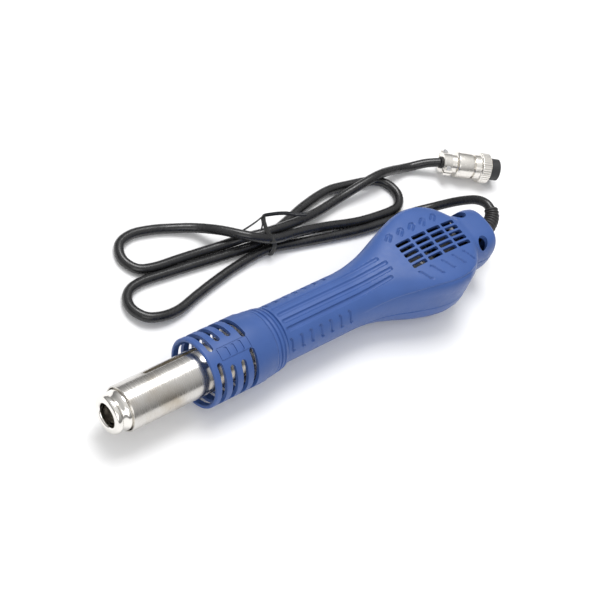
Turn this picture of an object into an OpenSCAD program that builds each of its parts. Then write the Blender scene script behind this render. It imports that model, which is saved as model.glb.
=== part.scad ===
// Handpiece of a hot air rework station, with its cord and plug.
// The nozzle points along +X and the handpiece lies on z = 0. A station is a
// distance in mm along the handpiece, from the mouth of the steel tube to the tail.

/* [Heater tube] */
// Outer diameter of the steel heater tube
tube_d = 22; // [21:0.5:22.5]
// Wall of the steel heater tube
tube_wall = 0.8; // [0.5:0.1:1]
// Length of tube that stands out of the guard
tube_out = 40; // [34:1:44]
// Bore of the tip that the air leaves by
tip_bore_d = 11.5; // [8:0.5:13]
// Length of tip that stands out of the tube
tip_out = 7.5; // [6:0.5:9]

/* [Guard] */
// Outer diameter of the slotted guard
guard_d = 34.4; // [34:0.2:35]
// Wall of the guard
guard_wall = 1.8; // [1.4:0.1:2]
// Width of one cooling slot
slot_w = 2.9; // [2:0.1:3.4]
// Distance from one cooling slot to the next
slot_pitch = 6.15; // [5.5:0.05:6.4]
// How far the guard is screwed round from upright
guard_turn = 13; // [0:1:20]

/* [Housing] */
// Wall of the two housing shells
shell_wall = 2; // [1.6:0.2:2.4]
// Half width of the handle
grip_r = 14.5; // [14:0.1:15]
// Half width of the head
head_r = 26; // [25:0.5:27]
// Length of one intake slot
vent_len = 9; // [5:0.2:9.4]
// Width of one intake slot
vent_w = 2.2; // [1.4:0.1:2.4]

/* [Blower] */
// Outer radius of the blower housing
blower_r = 19.5; // [19:0.5:20]
// Radius over the fan blades
blade_r = 16; // [13:0.5:17]
// Number of fan blades
blades = 24; // [12:1:32]

/* [Cord] */
// Diameter of the cord
cord_d = 5; // [4.6:0.1:5]
// Diameter of the coupling ring on the plug
ring_d = 16.6; // [16:0.2:17]

/* [Hidden] */
$fn = 64;

blue = [0.20, 0.29, 0.60];
steel = [0.78, 0.76, 0.73];
nickel = [0.86, 0.82, 0.77];
black = [0.08, 0.08, 0.09];
mica = [0.80, 0.70, 0.48];
ceramic = [0.93, 0.91, 0.86];
board_green = [0.10, 0.38, 0.22];
brass = [0.80, 0.62, 0.25];

eps = 0.01;
tube_r = tube_d / 2;
tube_bore = tube_r - tube_wall;
guard_r = guard_d / 2;
guard_bore = guard_r - guard_wall;
axis_z = guard_r;

// Stations of the main faces
guard_front = tube_out;
seat_end = tube_out - 2;
socket_front = 66;
collar_front = 77;
grip_front = 84;
grip_back = 130;
tail_back = 226;
front_x = (tail_back - tip_out) / 2;
socket_r = 14.9;
neck_r = 12.4;
socket_bore = 9.3;

// The housing: [station, half width, top, bottom, squareness below, squareness above]
housing_rise = 1.2;
outline = [
    [grip_front, grip_r, 15.7, 13.3, 2.0, 2.0],
    [grip_back, grip_r, 15.7, 13.3, 2.0, 2.0],
    [138, 14.9, 16.1, 13.8, 2.1, 2.15],
    [146, 16.0, 17.0, 14.9, 2.3, 2.6],
    [154, 18.0, 18.2, 16.1, 2.5, 3.1],
    [162, 20.7, 19.2, 16.9, 2.7, 4.0],
    [170, head_r - 2.8, 19.9, guard_r, 2.9, 5.4],
    [178, head_r - 0.8, 20.2, guard_r, 3.0, 6.6],
    [185, head_r, 20.2, guard_r, 3.0, 7.0],
    [191, head_r - 0.5, 20.0, guard_r, 3.0, 7.0],
    [197, head_r - 2.6, 19.5, 17.0, 3.0, 6.2],
    [203, 19.8, 18.8, 16.0, 2.9, 4.8],
    [207, 16.2, 18.2, 14.6, 2.8, 3.6],
    [210, 13.4, 17.8, 13.4, 2.7, 3.0],
    [213, 13.9, 17.9, 13.2, 2.7, 3.0],
    [219, 14.3, 17.8, 13.2, 2.7, 3.0],
    [223.5, 13.6, 17.2, 12.6, 2.6, 3.0],
    [225.3, 12.2, 16.2, 11.6, 2.5, 2.8],
    [tail_back, 10.5, 14.8, 10.2, 2.4, 2.6]];
cavity = concat([[grip_front - 1, neck_r + 0.1, neck_r + 1.2, neck_r - 1.2, 2, 2]],
    [for (row = outline) if (row[0] > grip_front && row[0] < 225)
        [row[0], row[1] - shell_wall, row[2] - shell_wall, row[3] - shell_wall, row[4], row[5]]]);
section_points = 32;

// The seam between the shells climbs towards the tail
seam_station = 88;
seam_z = -5;
seam_tilt = 3.7;

// Tail screws and grille
tail_screw_at = 214.2;
tail_screw_y = 9.6;
grille_at = 184.7;
grille_pitch = 10.6;
grille_row = 3.4;

// Top face of the sensor board, and its screws
board_z = -6;
board_screw_at = [98, 119];

// Blower, on an upright axis in the head
fan_at = 184.7;
fan_floor = -12;
fan_top = 6;
fan_x = front_x - fan_at;
blower_wall = 1.4;
inlet_r = 11;
hub_r = 8;
magnet_bore = 6.3;
shaft_r = 1;
bearing_r = 2.8;

// Cord clamp, strain relief and cord exit
exit_z = 22;
clamp_at = 207.8;
clamp_y = 6.8;
cord_r = cord_d / 2;
clamp_z = exit_z - axis_z + cord_r;
relief_root = [front_x - tail_back + 1, 0, exit_z];

// Plug, lying on its coupling ring
ring_r = ring_d / 2;
plug_at = [-143, -54, ring_r];
plug_heading = 148;
plug_r = 6.1;
barrel_r = 7.1;

// Strain relief: it leaves the tail level and leans up and over with the cord
relief_route = [relief_root, [-120, 0, 22.1], [-124.2, -1, 22.8], [-127.8, -2.8, 23.8],
    [-130.2, -5, 24.8], [-131.6, -7.8, 25.6]];

// Cord: out of the strain relief, down behind the head, and through a tied bundle of two
// loops to the left and one to the right
cord_route = [[-131.6, -7.8, 25.6], [-132, -12.6, 25.4], [-130.8, -18, 22.6], [-128.2, -23.2, 17.2],
    [-124.4, -27.8, 11.4], [-119, -31.6, 6.6], [-112, -34.4, 3.8], [-103.5, -36, 2.7],
    [-92, -36.6, 2.5], [-72, -38.6, 2.5],
    [-52, -42.4, 2.5], [-35, -46, 2.6], [-17, -49.4, 3], [2, -48.2, 2.6], [20, -45, 2.5],
    [34, -41.8, 2.5], [45.6, -38.8, 3], [56, -38.6, 4], [64, -41.8, 4.2], [67.2, -49.8, 3.4],
    [63.6, -57.4, 2.6], [55, -60.4, 2.5], [38, -59.2, 2.5], [20, -57.4, 2.5], [0, -55.6, 2.5],
    [-17, -55, 3], [-36, -59.6, 2.5], [-54, -64.6, 2.5], [-72, -67.4, 2.5], [-87, -65.6, 2.5],
    [-100.6, -62.7, 2.5], [-107.3, -58.2, 2.5], [-109.2, -50.4, 2.5], [-105.2, -43.7, 2.5],
    [-97.4, -41.5, 2.5], [-76, -43.4, 2.5], [-54, -47.6, 4.5], [-35, -49.4, 7.4],
    [-19, -50.4, 9.6], [-6, -55.6, 12.6],
    [3, -66, 9.6], [11, -75.4, 4.6], [22, -81.6, 2.6], [32, -85, 2.5], [42.4, -86.6, 2.5],
    [51, -83.8, 2.5], [54.6, -75.8, 2.5], [51.2, -68, 2.5], [42.6, -65, 2.5], [30, -64, 2.5],
    [16, -62.8, 2.5], [2, -61, 3.6], [-8, -58.4, 7], [-18, -55.8, 8.8], [-36, -55, 7.8],
    [-55, -57, 4.5], [-74, -59.4, 5], [-88, -60.2, 7.6], [-101, -61, 9], [-112, -61.8, 6.6],
    [-126, -61.4, 3.4], [-136, -57.8, 6.4], plug_at];

tie_r = 0.45;
tie_route = [[-43, -54, 13], [-38, -57, 12], [-33, -60, 12], [-26, -62, 12.5], [-19, -62, 14],
    [-17, -58.6, 12.4], [-17, -57.9, 8], [-17, -57.9, 3], [-17, -55.6, 0.6], [-17, -48.4, 0.6],
    [-17, -46.3, 3], [-17, -46.3, 9], [-17, -48.6, 11.6], [-17.6, -55, 11.8], [-18.4, -59, 12.8],
    [-18.6, -61.4, 14.6], [-14, -60.8, 13.8], [-8, -60, 13], [-2, -59.4, 12.6]];

// ---- Functions ----

function x_at(station) = front_x - station;

// One section of the housing, as points on a squared ellipse
function squared(v, n) = sign(v) * pow(abs(v), 2 / n);
function section(row) = [for (i = [0 : section_points - 1])
    let (a = 360 * i / section_points, up = sin(a) > 0 ? row[2] - housing_rise : row[3] + housing_rise,
        n = sin(a) > 0 ? row[5] : row[4])
    [x_at(row[0]), -row[1] * squared(cos(a), n), axis_z + housing_rise + up * squared(sin(a), n)]];

// Triangles that join rings of n points, with a flat cap at each end
function skin(rings, n) = concat(
    [[for (j = [0 : n - 1]) j]],
    [for (i = [0 : rings - 2], j = [0 : n - 1]) [i * n + j, (i + 1) * n + j, i * n + (j + 1) % n]],
    [for (i = [0 : rings - 2], j = [0 : n - 1])
        [i * n + (j + 1) % n, (i + 1) * n + j, (i + 1) * n + (j + 1) % n]],
    [[for (j = [n - 1 : -1 : 0]) (rings - 1) * n + j]]);

// A smooth curve through the points of a route
function clamp(i, n) = max(0, min(n - 1, i));
function curve_point(p, i, t) = let (n = len(p), a = p[clamp(i - 1, n)], b = p[i], c = p[clamp(i + 1, n)],
    d = p[clamp(i + 2, n)])
    0.5 * (2 * b + (c - a) * t + (2 * a - 5 * b + 4 * c - d) * t * t + (3 * b - a - 3 * c + d) * t * t * t);
function curve(p, steps) = concat(
    [for (i = [0 : len(p) - 2], k = [0 : steps - 1]) curve_point(p, i, k / steps)],
    [p[len(p) - 1]]);
function unit(v) = v / norm(v);
function heading(p, i) = unit(p[clamp(i + 1, len(p))] - p[clamp(i - 1, len(p))]);

// Frames that turn as little as possible from ring to ring
function side_of(d) = unit(cross(d, abs(d[2]) < 0.9 ? [0, 0, 1] : [1, 0, 0]));
function carry(side, d) = unit(side - (side * d) * d);
function sides(p, i, last) = i == len(p) ? [] :
    let (s = i == 0 ? side_of(heading(p, 0)) : carry(last, heading(p, i))) concat([s], sides(p, i + 1, s));

// ---- Shape helpers ----

module housing_form(rows) {
    points = [for (row = rows) each section(row)];
    polyhedron(points, skin(len(rows), section_points));
}

// Places a shape on the tube axis: its +Z points to the tail and its +X points up
module along(station) {
    translate([x_at(station), 0, axis_z]) rotate([0, -90, 0]) children();
}

module axial_ring(from, to, r_out, r_in) {
    along(from) difference() {
        cylinder(h = to - from, r = r_out);
        translate([0, 0, -1]) cylinder(h = to - from + 2, r = r_in);
    }
}

module upright(x, y, z) {
    translate([x, y, axis_z + z]) children();
}

module pipe(r_out, r_in, h) {
    difference() {
        cylinder(h = h, r = r_out);
        translate([0, 0, -1]) cylinder(h = h + 2, r = r_in);
    }
}

module swept(p, radii, n) {
    s = sides(p, 0, [0, 0, 1]);
    points = [for (i = [0 : len(p) - 1]) let (d = heading(p, i), u = s[i], v = cross(d, u))
        let (r = radii[min(i, len(radii) - 1)])
        for (j = [0 : n - 1]) p[i] + r * (cos(360 * j / n) * u + sin(360 * j / n) * v)];
    polyhedron(points, skin(len(p), n));
}

module above_seam() {
    translate([x_at(seam_station), 0, axis_z + seam_z]) rotate([0, seam_tilt, 0])
        translate([-200, -50, 0]) cube([260, 100, 60]);
}

module below_seam() {
    translate([x_at(seam_station), 0, axis_z + seam_z]) rotate([0, seam_tilt, 0])
        translate([-200, -50, -60]) cube([260, 100, 60]);
}

// ---- Housing ----

module collar_form() {
    along(collar_front) rotate_extrude() polygon([[0, 0], [15.8, 0], [16.2, 0.5], [16.2, 1.6], [15.4, 2],
        [15.4, 2.5], [16, 2.9], [16, 4], [15.2, 4.4], [15.2, 4.9], [15.7, 5.3], [15.5, 6.4], [14.8, 7.1], [0, 7.1]]);
}

module housing_solid() {
    housing_form(outline);
    collar_form();
}

module housing_hollow() {
    difference() {
        housing_form(cavity);
        for (side = [-1, 1]) upright(x_at(tail_screw_at), side * tail_screw_y, -30) cylinder(h = 60, r = 3.9);
    }
    along(collar_front - 1) cylinder(h = grip_front - collar_front + 1.5, r = neck_r + 0.1);
}

module vent_cut() {
    translate([-vent_len / 2 + vent_w / 2, -vent_w / 2, 0]) cube([vent_len - vent_w, vent_w, 12]);
    for (end = [-1, 1]) translate([end * (vent_len - vent_w) / 2, 0, 0]) cylinder(h = 12, d = vent_w);
}

module grip_grooves() {
    for (y = [-6, -2, 2, 6]) {
        depth = y == 6 || y == -6 ? 13.9 : 14.9;
        upright(x_at(grip_back + 2), y - 0.7, depth) cube([44, 1.4, 6]);
        upright(x_at(grip_back + 2), y - 0.7, depth) rotate([0, 4.5, 0])
            translate([-20, 0, 0]) cube([20, 1.4, 6]);
    }
}

module upper_shell() {
    color(blue) difference() {
        intersection() {
            housing_solid();
            above_seam();
        }
        housing_hollow();
        for (column = [-1.5 : 1.5], row = [-2 : 2])
            upright(x_at(grille_at + column * grille_pitch), row * grille_row, 12) vent_cut();
        for (side = [-1, 1]) upright(x_at(tail_screw_at), side * tail_screw_y, 0) {
            translate([0, 0, 7]) cylinder(h = 16, r = 3);
            cylinder(h = 10, r = 1.7);
        }
        along(tail_back - 8) translate([exit_z - axis_z, 0, 0]) cylinder(h = 12, r = 4.6);
        grip_grooves();
    }
}

module lower_shell() {
    color(blue) {
        difference() {
            intersection() {
                housing_solid();
                below_seam();
            }
            housing_hollow();
            for (side = [-1, 1]) upright(x_at(tail_screw_at), side * tail_screw_y, -9) cylinder(h = 20, r = 1.3);
            along(tail_back - 8) translate([exit_z - axis_z, 0, 0]) cylinder(h = 12, r = 4.6);
        }
        for (side = [-1, 1]) upright(x_at(clamp_at), side * clamp_y, -13) pipe(2.2, 1, 13 + clamp_z);
        for (a = [45 : 90 : 315])
            upright(fan_x + 15 * cos(a), 15 * sin(a), -16) cylinder(h = 16 + fan_floor, r = 2);
        for (s = board_screw_at) upright(x_at(s), 0, board_z - 6.6) pipe(2, 0.9, 5);
    }
}

module shell_screws() {
    color(steel) for (side = [-1, 1]) upright(x_at(tail_screw_at), side * tail_screw_y, 0) {
        translate([0, 0, 7]) difference() {
            cylinder(h = 1.9, r = 2.7);
            for (turn = [0, 90]) rotate(turn) translate([-1.5, -0.3, 0.8]) cube([3, 0.6, 2]);
        }
        translate([0, 0, -8]) cylinder(h = 15 + eps, r = 1.3);
    }
}

// ---- Guard, socket and heater tube ----

// Slots run round the guard; the two outer ones start nearer to the name frame
module guard_slots() {
    for (k = [0 : 3], half = [0, 180], side = [-1, 1]) {
        start = k == 0 || k == 3 ? 11 : 22;
        reach = half == 0 ? 91 : 80;
        from = side > 0 ? start : -reach;
        translate([0, 0, 4.4 + k * slot_pitch]) rotate(half + from) rotate_extrude(angle = reach - start)
            translate([guard_bore - 1, -slot_w / 2]) square([guard_wall + 3, slot_w]);
    }
}

module guard_frame() {
    translate([0, 0, 7.4]) rotate(-9) rotate_extrude(angle = 18)
        translate([guard_r - 0.5, 0]) square([2, 15]);
}

module front_guard() {
    color(blue) along(guard_front) rotate(guard_turn) difference() {
        rotate_extrude() polygon([[guard_bore, 0.4], [guard_bore + 0.4, 0], [guard_r - 0.5, 0],
            [guard_r, 0.8], [guard_r, 31], [guard_r - 0.6, 33], [guard_r - 0.7, 36.6], [guard_r - 1, 37],
            [socket_r + 0.05, 37], [socket_r + 0.05, 26], [guard_bore, 25.4]]);
        guard_slots();
        difference() {
            guard_frame();
            for (k = [0 : 2]) translate([0, 0, 9.6 + k * 4.2]) rotate(-6) rotate_extrude(angle = 12)
                translate([guard_r - 1, 0]) square([0.8, 2.4]);
        }
    }
}

module front_socket() {
    color(black) along(socket_front) difference() {
        union() {
            cylinder(h = collar_front - socket_front, r = socket_r);
            cylinder(h = 22, r = neck_r);
        }
        translate([0, 0, -1]) cylinder(h = 30, r = socket_bore);
        for (a = [60, 180, 300]) rotate(a) translate([12.7, 0, -1]) cylinder(h = 8, r = 0.9);
    }
}

module heater_tube() {
    color(steel) difference() {
        union() {
            axial_ring(0, seat_end, tube_r, tube_bore);
            axial_ring(seat_end, socket_front, tube_r - 0.2, tube_bore);
            axial_ring(socket_front - 1.2, socket_front, 14.4, tube_bore);
        }
        along(socket_front - 3) for (a = [60, 180, 300]) rotate(a) translate([12.7, 0, 0]) cylinder(h = 5, r = 1);
        along(15) rotate(-42) translate([tube_r - 0.4, -1.2, 0]) cube([2, 2.4, 30]);
    }
}

module tip_collar() {
    color(nickel) along(-tip_out) rotate_extrude() polygon([[tip_bore_d / 2, 0.6], [tip_bore_d / 2 + 0.6, 0],
        [8.2, 0], [9, 0.5], [9.3, 1.4], [9.3, 2.4], [8.8, 3.2], [8, 3.5], [7.9, 4], [8.4, 4.6], [9.2, 5.6],
        [9.6, 6.6], [9.6, 7.6], [tube_bore, 8.6], [tube_bore, 13], [9.4, 13], [9.4, 9], [tip_bore_d / 2, 5]]);
}

module tube_screws() {
    color(steel) along(socket_front) for (a = [60, 180, 300]) rotate(a) translate([12.7, 0, 0]) {
        translate([0, 0, -2.2]) cylinder(h = 1, r = 1.5);
        translate([0, 0, -1.3]) cylinder(h = 7.5, r = 0.9);
    }
}

// ---- Heating element ----

module mica_sleeve() {
    color(mica) axial_ring(10, socket_front, 9.9, 9.4);
}

module heater_former() {
    color(ceramic) along(12) difference() {
        cylinder(h = 54, r = 7);
        translate([0, 0, -1]) cylinder(h = 60, r = 0.9);
        for (a = [0 : 60 : 300]) rotate(a) translate([4.2, 0, -1]) cylinder(h = 60, r = 1.5);
    }
}

module heater_coil() {
    turns = 11;
    per_turn = 16;
    coil_r = 7.5;
    wire = [for (i = [0 : turns * per_turn]) let (a = 360 * i / per_turn)
        [coil_r * cos(a), coil_r * sin(a), 4 * i / per_turn]];
    color(steel) along(16) swept(wire, [0.45], 6);
}

module heater_base() {
    color(ceramic) along(socket_front) difference() {
        cylinder(h = 4, r = socket_bore - 0.05);
        translate([0, 0, -1]) cylinder(h = 6, r = 0.9);
        for (a = [0 : 60 : 300]) rotate(a) translate([4.2, 0, -1]) cylinder(h = 6, r = 1.5);
        for (a = [90, 270]) rotate(a) translate([7.4, 0, -1]) cylinder(h = 6, r = 0.95);
    }
}

module thermocouple() {
    color(steel) along(8) cylinder(h = 70, r = 0.8);
}

// ---- Blower ----

module blower_housing() {
    color(black) difference() {
        union() {
            upright(fan_x, 0, fan_floor) cylinder(h = fan_top - fan_floor, r = blower_r);
            upright(fan_x, -8, fan_floor) cube([34, 16, fan_top - fan_floor]);
        }
        upright(fan_x, 0, fan_floor + blower_wall)
            cylinder(h = 40, r = blower_r - blower_wall);
        upright(fan_x, -8 + blower_wall, fan_floor + blower_wall)
            cube([40, 16 - 2 * blower_wall, fan_top - fan_floor - 2 * blower_wall]);
    }
    color(black) upright(fan_x, 0, fan_floor + blower_wall - eps) pipe(bearing_r + 1, bearing_r, 9);
}

module blower_cover() {
    color(black) upright(fan_x, 0, fan_top) difference() {
        cylinder(h = 1.4, r = blower_r);
        translate([0, 0, -1]) cylinder(h = 4, r = inlet_r);
        for (a = [45 : 90 : 315]) rotate(a) translate([17.2, 0, -1]) cylinder(h = 4, r = 0.8);
    }
}

module impeller() {
    color([0.20, 0.21, 0.23]) upright(fan_x, 0, fan_floor + 3.6) {
        difference() {
            cylinder(h = 11.4, r = hub_r);
            translate([0, 0, -1]) cylinder(h = 11, r = hub_r - 0.7);
            cylinder(h = 20, r = shaft_r);
        }
        difference() {
            cylinder(h = 1, r = blade_r);
            translate([0, 0, -1]) cylinder(h = 3, r = hub_r - 0.1);
        }
        for (i = [0 : blades - 1]) rotate(360 * i / blades) translate([hub_r + 2, 0, 0.5])
            rotate(28) cube([blade_r - hub_r - 3, 0.6, 10]);
    }
}

module fan_magnet() {
    color([0.30, 0.30, 0.32]) upright(fan_x, 0, fan_floor + 4) pipe(hub_r - 0.7, magnet_bore, 8);
}

module fan_shaft() {
    color(steel) upright(fan_x, 0, fan_floor + 1.8) cylinder(h = 12.8, r = shaft_r);
}

module fan_stator() {
    color([0.72, 0.42, 0.22]) upright(fan_x, 0, fan_floor + 4.4) {
        pipe(4.8, bearing_r + 1, 5);
        for (a = [0 : 90 : 270]) rotate(a) translate([4, -1.4, 0]) cube([1.7, 2.8, 5]);
    }
}

module fan_bearings() {
    color(brass) for (z = [2, 7.4]) upright(fan_x, 0, fan_floor + z) pipe(bearing_r, shaft_r + 0.03, 3);
}

module fan_board() {
    color(board_green) upright(fan_x, 0, fan_floor + blower_wall) pipe(9, bearing_r + 1, 1);
}

module blower_screws() {
    color(steel) upright(fan_x, 0, fan_top + 1.4) for (a = [45 : 90 : 315]) rotate(a) translate([17.2, 0, 0]) {
        cylinder(h = 0.9, r = 1.4);
        translate([0, 0, -1.4]) cylinder(h = 1.5, r = 0.8);
    }
}

// Foam seal that holds the blower's outlet in the neck of the housing
module outlet_gasket() {
    color([0.25, 0.25, 0.26]) upright(fan_x + 34, -8.2, fan_floor + 1) difference() {
        cube([4, 16.4, 17]);
        translate([-1, 1.6, 1]) cube([6, 13.2, 13.6]);
    }
}

// ---- Electronics ----

module sensor_board() {
    color(board_green) difference() {
        upright(x_at(134), -8, board_z - 1.6) cube([40, 16, 1.6]);
        for (s = board_screw_at) upright(x_at(s), 0, board_z - 3) cylinder(h = 5, r = 1);
    }
}

module reed_switch() {
    color([0.55, 0.70, 0.60]) upright(x_at(112), -5, -4.6) rotate([0, 90, 0]) cylinder(h = 14, r = 1.2);
    color(steel) upright(x_at(115), -5, -4.6) rotate([0, 90, 0]) cylinder(h = 20, r = 0.3);
    color(steel) for (s = [115, 95.3]) upright(x_at(s), -5, -6.1) cylinder(h = 1.7, r = 0.3);
}

module terminal_block() {
    color([0.30, 0.55, 0.35]) upright(x_at(131), -7, -6) difference() {
        cube([8, 14, 5]);
        for (k = [0 : 3]) translate([4, 2.2 + k * 3.2, 2]) cylinder(h = 4, r = 1.1);
    }
}

module board_screws() {
    color(steel) for (s = board_screw_at) upright(x_at(s), 0, board_z) {
        cylinder(h = 1, r = 1.8);
        translate([0, 0, -4.4]) cylinder(h = 4.4 + eps, r = 0.9);
    }
}

// ---- Leads inside the housing ----

module heater_leads() {
    color([0.75, 0.15, 0.12]) for (side = [-1, 1])
        swept(curve([[x_at(71), side * 7.4, axis_z], [x_at(80), side * 7, axis_z - 0.6],
            [x_at(96), side * 6, axis_z + 1.2], [x_at(112), side * 4, axis_z + 1.6],
            [x_at(122.8), side * 3, axis_z - 2.6]], 2), [0.8], 6);
}

module fan_leads() {
    color([0.80, 0.12, 0.10]) for (side = [-1, 1])
        swept(curve([[x_at(131.2), side * 2, axis_z - 3.4], [x_at(138), side * 5, axis_z - 4.6],
            [x_at(145), side * 9, axis_z - 6.6], [x_at(158), side * 9.8, axis_z - 9],
            [x_at(167.2), side * 9.2, axis_z - 9.6]], 2), [0.6], 6);
}

module cord_leads() {
    color([0.85, 0.80, 0.20]) for (y = [-2.4, -0.8, 0.8, 2.4])
        swept(curve([[x_at(131.2), 2 * y, axis_z - 4.6], [x_at(135.5), 1.8 * y, axis_z - 5.2],
            [x_at(141), 1.4 * y, axis_z - 9.6], [x_at(146), y, axis_z - 12.1], [x_at(151), y, axis_z - 12.7],
            [x_at(180), y, axis_z - 13.6], [x_at(200), y, axis_z - 13.2], [x_at(205), y, axis_z - 12.3],
            [x_at(205.8), 0.9 * y, axis_z - 5], [x_at(205.9), 0.8 * y, axis_z + 2],
            [x_at(207), 0.8 * y, exit_z]], 2), [0.5], 6);
}

// ---- Cord clamp and strain relief ----

module cord_clamp() {
    color(steel) upright(x_at(clamp_at), 0, clamp_z) difference() {
        translate([-2.2, -9, 0]) cube([4.4, 18, 1.6]);
        for (side = [-1, 1]) translate([0, side * clamp_y, -1]) cylinder(h = 4, r = 1.2);
    }
}

module clamp_screws() {
    color(steel) for (side = [-1, 1]) upright(x_at(clamp_at), side * clamp_y, clamp_z + 1.6) {
        cylinder(h = 1.2, r = 2);
        translate([0, 0, -8]) cylinder(h = 8 + eps, r = 1);
    }
}

// The end of the cord's jacket, held under the clamp
module cord_end() {
    color(black) along(207) translate([exit_z - axis_z, 0, 0]) cylinder(h = 11, r = cord_r);
}

module strain_relief() {
    color(black) {
        swept(curve(relief_route, 3), [for (i = [0 : 15]) 4.5 - 0.07 * i], 12);
        along(218) translate([exit_z - axis_z, 0, 0]) cylinder(h = 7.2, r = 4.5);
    }
}

// ---- Cord, tie and plug ----

module cord() {
    color(black) swept(curve(cord_route, 1), [cord_r], 8);
}

module cord_tie() {
    color(black) swept(curve(tie_route, 2), [tie_r], 6);
}

// Local +Z runs from the cord to the mating face, and local -X points up
module on_plug(z) {
    translate(plug_at) rotate([0, 0, plug_heading]) rotate([0, 90, 0]) translate([0, 0, z]) children();
}

module plug_sleeve() {
    color(black) on_plug(0) cylinder(h = 6, r = 3.3);
}

module plug_shell() {
    color(nickel) on_plug(6) difference() {
        union() {
            cylinder(h = 3, r = 5.2);
            translate([0, 0, 3]) cylinder(h = 9.4, r = barrel_r);
            translate([0, 0, 3]) cylinder(h = 19, r = plug_r);
        }
        translate([0, 0, 1.5]) cylinder(h = 30, r = 4.4);
        translate([0, 0, 5.5]) cylinder(h = 30, r = plug_r - 0.9);
    }
}

module plug_saddle() {
    color(nickel) on_plug(0.8) for (side = [-1, 1]) intersection() {
        pipe(5.6, 3.3, 5.2);
        translate([side > 0 ? 0.4 : -6.4, -8, -1]) cube([6, 16, 8]);
    }
    color(nickel) on_plug(0.8) for (side = [-1, 1], up = [-1, 1])
        translate([up > 0 ? 0.4 : -2, side > 0 ? 4.6 : -7.2, 0.4]) difference() {
            cube([1.6, 2.6, 4.4]);
            translate([-1, side > 0 ? 1.5 : 1.1, 2.2]) rotate([0, 90, 0]) cylinder(h = 4, r = 0.6);
        }
}

module plug_screws() {
    color(steel) on_plug(3.4) for (side = [-1, 1]) translate([0, side * 6.1, 0]) rotate([0, 90, 0]) {
        translate([0, 0, -3.2]) cylinder(h = 1.2, r = 1.25);
        translate([0, 0, -2.4]) cylinder(h = 5.4, r = 0.6);
    }
}

module plug_ring() {
    color(nickel) on_plug(19.4) rotate_extrude() polygon([[plug_r + 0.05, 0], [6.9, 0], [7, 3.4], [ring_r - 0.5, 3.8],
        [ring_r, 4.4], [ring_r, 8.6], [ring_r - 0.4, 9], [7.4, 9], [7.4, 4.8], [plug_r + 0.05, 4.4]]);
}

module plug_insert() {
    color(black) on_plug(20) difference() {
        union() {
            cylinder(h = 8, r = plug_r - 0.95);
            translate([0, 0, 8]) cylinder(h = 6.6, r = plug_r - 0.1);
        }
        for (k = [0 : 4]) rotate(72 * k) translate([3.1, 0, -1]) cylinder(h = 16, r = 0.8);
        rotate(36) translate([4.4, -0.7, 9]) cube([3, 1.4, 6]);
    }
}

module plug_contacts() {
    color(brass) on_plug(18) for (k = [0 : 4]) rotate(72 * k) translate([3.1, 0, 0]) difference() {
        cylinder(h = 15.6, r = 0.8);
        translate([0, 0, 8]) cylinder(h = 10, r = 0.5);
    }
}

upper_shell();
lower_shell();
front_guard();
front_socket();
heater_tube();
tip_collar();
tube_screws();
mica_sleeve();
heater_former();
heater_coil();
heater_base();
thermocouple();
blower_housing();
blower_cover();
impeller();
fan_magnet();
fan_shaft();
fan_stator();
fan_bearings();
fan_board();
blower_screws();
outlet_gasket();
sensor_board();
reed_switch();
terminal_block();
board_screws();
cord_clamp();
clamp_screws();
shell_screws();
heater_leads();
fan_leads();
cord_leads();
cord_end();
strain_relief();
cord();
cord_tie();
plug_sleeve();
plug_shell();
plug_saddle();
plug_screws();
plug_ring();
plug_insert();
plug_contacts();
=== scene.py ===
import math

import bmesh
import bpy
from mathutils import Matrix, Vector


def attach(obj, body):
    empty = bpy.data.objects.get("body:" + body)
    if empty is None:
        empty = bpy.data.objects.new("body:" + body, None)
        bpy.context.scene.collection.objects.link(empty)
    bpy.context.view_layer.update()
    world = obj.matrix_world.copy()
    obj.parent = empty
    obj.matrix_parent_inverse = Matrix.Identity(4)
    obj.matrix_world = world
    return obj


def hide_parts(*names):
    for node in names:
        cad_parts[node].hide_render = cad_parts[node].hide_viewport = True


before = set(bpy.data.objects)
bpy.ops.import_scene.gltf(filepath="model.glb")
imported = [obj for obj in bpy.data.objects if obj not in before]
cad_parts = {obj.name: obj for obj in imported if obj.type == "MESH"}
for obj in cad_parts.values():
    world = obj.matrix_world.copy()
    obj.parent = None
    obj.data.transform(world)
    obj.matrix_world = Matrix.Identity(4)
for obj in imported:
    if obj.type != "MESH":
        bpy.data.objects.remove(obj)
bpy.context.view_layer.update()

# A hot air handpiece with its cord and round plug. Sizes are in millimetres and stand as in the CAD.
# A station runs from the tube's mouth at FRONT_X to the tail, and heights count from the tube's axis.
MM = 0.001
FRONT_X = 109.25
AXIS_Z = 17.2
CORD_D = 5.0
GUARD_FRONT, GUARD_BACK = 40.0, 77.0
GUARD_TURN = 13.0
HANDLE_FRONT, TAIL_END = 84.2, 226.0
SEAM_AT, SEAM_TILT = (88, -5), math.radians(3.7)
PLUG_AT = (-143.0, -54.0, 8.3)
PLUG_HEADING = math.radians(148)

# The places of the camera, the floor and the lamps are in metres
CAMERA_AT = (0.3679, 0.2033, 0.5272)
CAMERA_RIGHT = (-0.75238, 0.58582, 0.30122)
CAMERA_BACK = (0.55692, 0.32150, 0.76582)
CAMERA_LENS = 82.8

scene = bpy.context.scene


def spot(x, y, z):
    return Vector((x, y, z)) * MM


def along(station, y=0.0, z=0.0):
    """A point by station, and by height over the tube's axis."""
    return spot(FRONT_X - station, y, AXIS_Z + z)


# ---- Camera ----

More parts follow.
